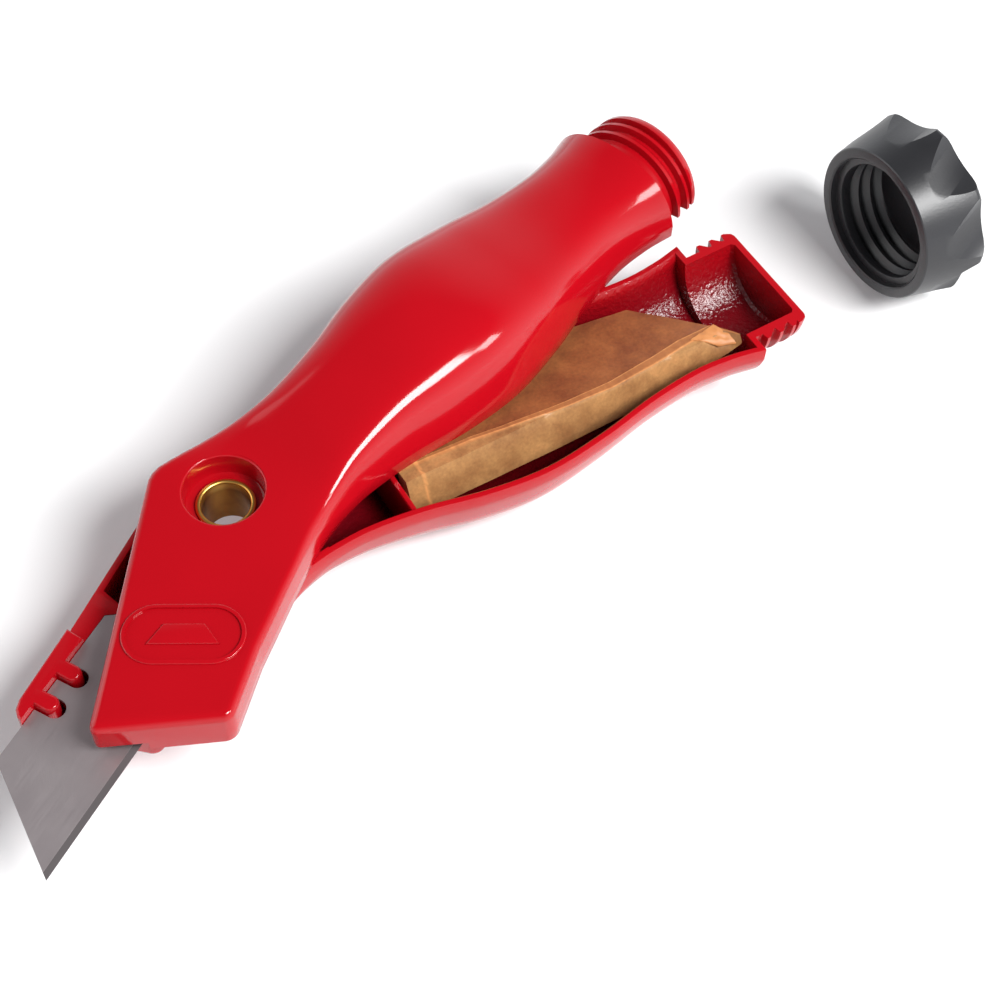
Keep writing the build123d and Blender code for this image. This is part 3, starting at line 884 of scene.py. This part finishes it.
tilt = Matrix.Rotation(SCOOP_TWIST, 3, "Z") @ Matrix.Rotation(pi / 2 + SCOOP_LEAN, 3, "Y")
scoop_values = {
    "Count": SCOOPS,
    "Radius": SCOOP_R * MM,
    "Length": SCOOP_LENGTH * MM,
    "Offset": ((cap_rear - SCOOP_IN) * MM, 0, (CAP_REAR_R + SCOOP_R - SCOOP_DEPTH) * MM),
    "Tilt": tuple(tilt.to_euler()),
    "First angle": pi / SCOOPS,
    "Finish": plastic,
}
scoops = grow("scoops", scoop_tree(), scoop_values)
scoops.data.transform(Matrix.Translation((0, AXIS_Y * MM, 0)))
combine(cap, scoops, "DIFFERENCE")
recess_end = CAP_MOUTH + RECESS_DEPTH
recess = turned_x(
    "recess",
    [
        (CAP_MOUTH - 1, RECESS_R + 0.4),
        (CAP_MOUTH, RECESS_R + 0.3),
        (CAP_MOUTH + 0.3, RECESS_R),
        (recess_end, RECESS_R),
    ],
    plastic,
)
combine(cap, recess, "DIFFERENCE")
hollow = turned_x(
    "hollow",
    [(CAP_MOUTH + 1, CAP_CREST_R + 0.4), (recess_end + 0.3, CAP_CREST_R), (cap_rear - CAP_WALL, CAP_CREST_R)],
    plastic,
)
combine(cap, hollow, "DIFFERENCE")
groove_height = CAP_ROOT_R - CAP_CREST_R + GROOVE_OVERLAP
groove = thread_ridge(
    GROOVE_TURNS, CAP_CREST_R - GROOVE_OVERLAP, groove_height, recess_end + GROOVE_START, plastic
)
combine(cap, groove, "DIFFERENCE")
shade(cap, 30)
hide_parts("end_cap")
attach(cap, "end_cap")


# ==== Blade packet ====
# Spare blades wrapped in brown waxed paper: a firm upper face over the top blade, a slack near face, a seam
# where the paper overlaps, and a crumpled tail folded over at the rear.
PACKET_CORNER = Vector((30.9, -9.1, -0.7))
PACKET_TURN, PACKET_TILT = radians(-0.4), radians(-8.0)
turned = Matrix.Rotation(PACKET_TURN, 4, "Z") @ Matrix.Rotation(PACKET_TILT, 4, "X")
packet_frame = Matrix.Translation(PACKET_CORNER) @ turned

# waxed kraft paper: dull, mottled brown with short fibres drawn coarser than the real ones so that they show,
# paler along folds, where the wax has cracked; the near face is painted paler and yellower as painted light
# on that face
paper, tree = blank_material("brown_waxed_kraft_paper_folded")
place = add(tree, "ShaderNodeTexCoord").outputs["Object"]
fold = add(tree, "ShaderNodeAttribute", attribute_name="fold").outputs["Fac"]
near = add(tree, "ShaderNodeAttribute", attribute_name="near_face_painted_light").outputs["Fac"]
cloudy = {"Vector": place, "Scale": 1 / (7 * MM), "Detail": 6.0, "Roughness": 0.62}
mottle = add(tree, "ShaderNodeTexNoise", cloudy)
fibre = add(tree, "ShaderNodeTexNoise", {"Vector": place, "Scale": 1 / (0.6 * MM), "Detail": 3.0})
speckle = add(tree, "ShaderNodeMapRange", {"Value": mottle, "From Min": 0.34, "From Max": 0.66})
# painted light: the near face gets paler, yellower tones than the upper face
dark_tone = add(
    tree,
    "ShaderNodeMix",
    {"Factor": near, "A": linear("#82431F"), "B": linear("#9A683C")},
    data_type="RGBA",
)
light_tone = add(
    tree,
    "ShaderNodeMix",
    {"Factor": near, "A": linear("#A46132"), "B": linear("#C39058")},
    data_type="RGBA",
)
sheet_tone = add(
    tree,
    "ShaderNodeMix",
    {"Factor": speckle, "A": dark_tone, "B": light_tone},
    data_type="RGBA",
)
fibre_tone = add(
    tree,
    "ShaderNodeMix",
    {"Factor": fibre, "A": sheet_tone, "B": linear("#8C8C8C")},
    data_type="RGBA",
    blend_type="OVERLAY",
)
worn_tone = add(
    tree,
    "ShaderNodeMix",
    {"Factor": fold, "A": fibre_tone, "B": linear("#E09A5C")},
    data_type="RGBA",
)
crumple = add(tree, "ShaderNodeTexNoise", {"Vector": place, "Scale": 1 / (3.2 * MM), "Detail": 4.0})
crumple_bump = add(tree, "ShaderNodeBump", {"Height": crumple, "Strength": 0.35, "Distance": 0.25 * MM})
finish_surface(tree, Base_Color=worn_tone, Roughness=0.48, IOR=1.45, Sheen_Weight=0.1, Normal=crumple_bump)

# where the fold between the upper and the near face runs: (along the packet, across it)
CREASE = [
    (-0.5, 2.7), (7, 2.5), (14, 2.0), (25, 0.5), (34, -0.6), (43, -1.1), (53, -0.4), (63, 0.8), (67.8, 1.5),
    (70.6, -2.9),
]
# the far edge of the upper face, and of the slanting right end
FAR_EDGE = [
    (-0.5, 3.0), (12.0, 19.2), (43.5, 19.2), (46.0, 16.6),
    (56.8, 15.0), (66.8, 3.4), (67.8, 1.9), (70.6, -2.5),
]
NEAR_FOOT = [(-0.5, -1.9), (6, -2.4), (30, -2.5), (56, -2.2), (64, -2.0), (70.6, -3.4)]
PACKET_DEPTH = [(-0.5, 7.3), (56, 7.3), (64, 5.0), (68, 3.2), (70.6, 1.6)]
SEAM_WIDTH = [(-0.5, 0.5), (20, 0.7), (45, 1.5), (60, 1.9), (67, 1.0), (70.6, 0.1)]
PACKET_START, PACKET_END = -0.45, 70.6
ALONG, ACROSS, SEAM, DOWN, UNDER, UP = 190, 30, 5, 16, 8, 4  # steps along the packet and round its section
FOLD_U, FOLD_HALF, FOLD_RISE = 3.0, 0.45, 0.14  # the folded end's ridge: place, half width and height
UPPER_FACE_Z = -0.2
FACE_BULGE, SEAM_TOP, SEAM_FALL = 0.22, 0.46, 0.06  # heights of the upper face's near side and of the seam
BEND = 0.25  # share of the near face's steps that run over the shoulder above the blades
NEAR_SLACK, FAR_LEAN = 0.25, 1.2  # how far the near face sags, and how far the far face leans out at the top
CRUMPLE_BROAD, CRUMPLE_FINE = 0.13, 0.05


def between(rows, u):
    """The value at u on straight lines between the rows."""
    if u <= rows[0][0]:
        return rows[0][1]
    for (u0, v0), (u1, v1) in zip(rows, rows[1:]):
        if u <= u1:
            return v0 + (v1 - v0) * (u - u0) / (u1 - u0)
    return rows[-1][1]


def packet_section(u):
    """Closed section of the packet: upper face, seam strip, near face, underside, far face. Each point
    carries how worn its fold is."""
    crease = between(CREASE, u)
    far = max(between(FAR_EDGE, u), crease + 0.3)
    seam = min(between(SEAM_WIDTH, u), (far - crease) * 0.8)
    foot, deep = between(NEAR_FOOT, u), between(PACKET_DEPTH, u)
    points = []
    for i in range(ACROSS + 1):
        t = i / ACROSS
        points.append((far + (crease + seam - far) * t, 0.05 + FACE_BULGE * t**4, 0.0))
    for i in range(SEAM + 1):
        t = i / SEAM
        points.append((crease + seam * (1 - t), SEAM_TOP - SEAM_FALL * t, 0.8 if i in (0, SEAM) else 0.25))
    shoulder = min(crease - 0.2, -0.4)
    under = 0.12 if crease > 0 else 0.0
    for i in range(1, DOWN + 1):
        t = i / DOWN
        if t < BEND:
            q = t / BEND
            over = crease - 0.06 + (shoulder - crease + 0.06) * q
            points.append((over, FACE_BULGE + (under - FACE_BULGE) * q, 0.0))
        else:
            q = (t - BEND) / (1 - BEND)
            slack = NEAR_SLACK * sin(pi * q)
            points.append((shoulder + (foot - shoulder) * q - slack, under - (deep + under) * q, 0.0))
    for i in range(1, UNDER + 1):
        width = far - FAR_LEAN - foot if far - FAR_LEAN > foot else 0.2
        points.append((foot + width * i / UNDER, -deep, 0.0))
    end = points[-1]
    for i in range(1, UP):
        t = i / UP
        points.append((end[0] + (far - end[0]) * t, -deep + (deep + 0.05) * t, 0.0))
    return points


def crumple_at(u, v, z):
    """How far the paper stands off its even face."""
    broad = noise(Vector((u / 7.0, v / 6.0, z / 6.0)))
    fine = noise(Vector((u / 2.0, v / 1.8, z / 2.0 + 7)))
    return CRUMPLE_BROAD * broad + CRUMPLE_FINE * fine


rings, folds, near_face_painted_light = [], [], []
for i in range(ALONG + 1):
    u = PACKET_START + (PACKET_END - PACKET_START) * i / ALONG
    ring = []
    for k, (v, z, worn) in enumerate(packet_section(u)):
        ridge_u = FOLD_U + 0.35 * noise(Vector((v * 0.9, z * 0.9, 2.0)))
        end_fold = max(0.0, 1 - abs(u - ridge_u) / FOLD_HALF)
        stand = crumple_at(u, v, z) + FOLD_RISE * end_fold
        # the upper face crumples upwards, the others mostly sideways
        side, rise = (0.0, stand) if z > UPPER_FACE_Z else (0.5 * stand, 0.3 * stand)
        ring.append(packet_frame @ Vector((u, v - side, z + rise)))
        # points of the near face take the painted light tone
        near_face_painted_light.append(1.0 if k > ACROSS + SEAM + 1 else 0.0)
        folds.append(min(1.0, worn * (0.75 + 0.5 * noise(Vector((u, 9.0, 1.0)))) + 0.7 * end_fold))
    rings.append(ring)
wrapper = skin("blade_wrapper_folded", rings, paper)
wrapper.data.attributes.new("fold", "FLOAT", "POINT").data.foreach_set("value", folds)
wrapper.data.attributes.new("near_face_painted_light", "FLOAT", "POINT").data.foreach_set("value", near_face_painted_light)
shade(wrapper, 50)

# the loose corner of the paper, folded back over the tail
FLAP = [(61.9, 1.0, 0.66), (67.8, 1.9, 0.75), (66.4, -1.9, -1.1), (70.5, -3.2, -1.2)]
FLAP_ROWS, FLAP_COLUMNS, FLAP_THICK = 14, 20, 0.22
FLAP_ARCH, FLAP_CRUMPLE = 0.35, 0.28
sheets = []
for under in (0, FLAP_THICK):
    sheet = []
    for i in range(FLAP_ROWS + 1):
        for j in range(FLAP_COLUMNS + 1):
            a, b = i / FLAP_ROWS, j / FLAP_COLUMNS
            upper = Vector(FLAP[0]).lerp(Vector(FLAP[1]), b)
            lower = Vector(FLAP[2]).lerp(Vector(FLAP[3]), b)
            spot = upper.lerp(lower, a)
            crease_mark = noise(Vector((spot.x / 1.1, spot.y / 0.9, 5.0)))
            spot.z += FLAP_ARCH * sin(pi * a) + FLAP_CRUMPLE * crease_mark - under
            sheet.append(packet_frame @ spot)
    sheets.append(sheet)
stride = FLAP_COLUMNS + 1
size = len(sheets[0])
cells = [i * stride + j for i in range(FLAP_ROWS) for j in range(FLAP_COLUMNS)]
flap_faces = [(c, c + 1, c + stride + 1, c + stride) for c in cells]
flap_faces += [tuple(size + v for v in reversed(face)) for face in flap_faces]
edge = list(range(FLAP_COLUMNS)) + [i * stride + FLAP_COLUMNS for i in range(FLAP_ROWS)]
edge += [FLAP_ROWS * stride + j for j in range(FLAP_COLUMNS, 0, -1)]
edge += [i * stride for i in range(FLAP_ROWS, 0, -1)]
flap_faces += [(a, b, b + size, a + size) for a, b in zip(edge, edge[1:] + edge[:1])]
flap = mesh_piece("blade_wrapper_loose_corner", sheets[0] + sheets[1], flap_faces, paper)
flap_values = flap.data.attributes.new("fold", "FLOAT", "POINT")
flap_values.data.foreach_set("value", [0.5] * len(flap_values.data))
shade(flap, 60)
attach(flap, "back_shell")
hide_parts("blade_wrapper")
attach(wrapper, "back_shell")
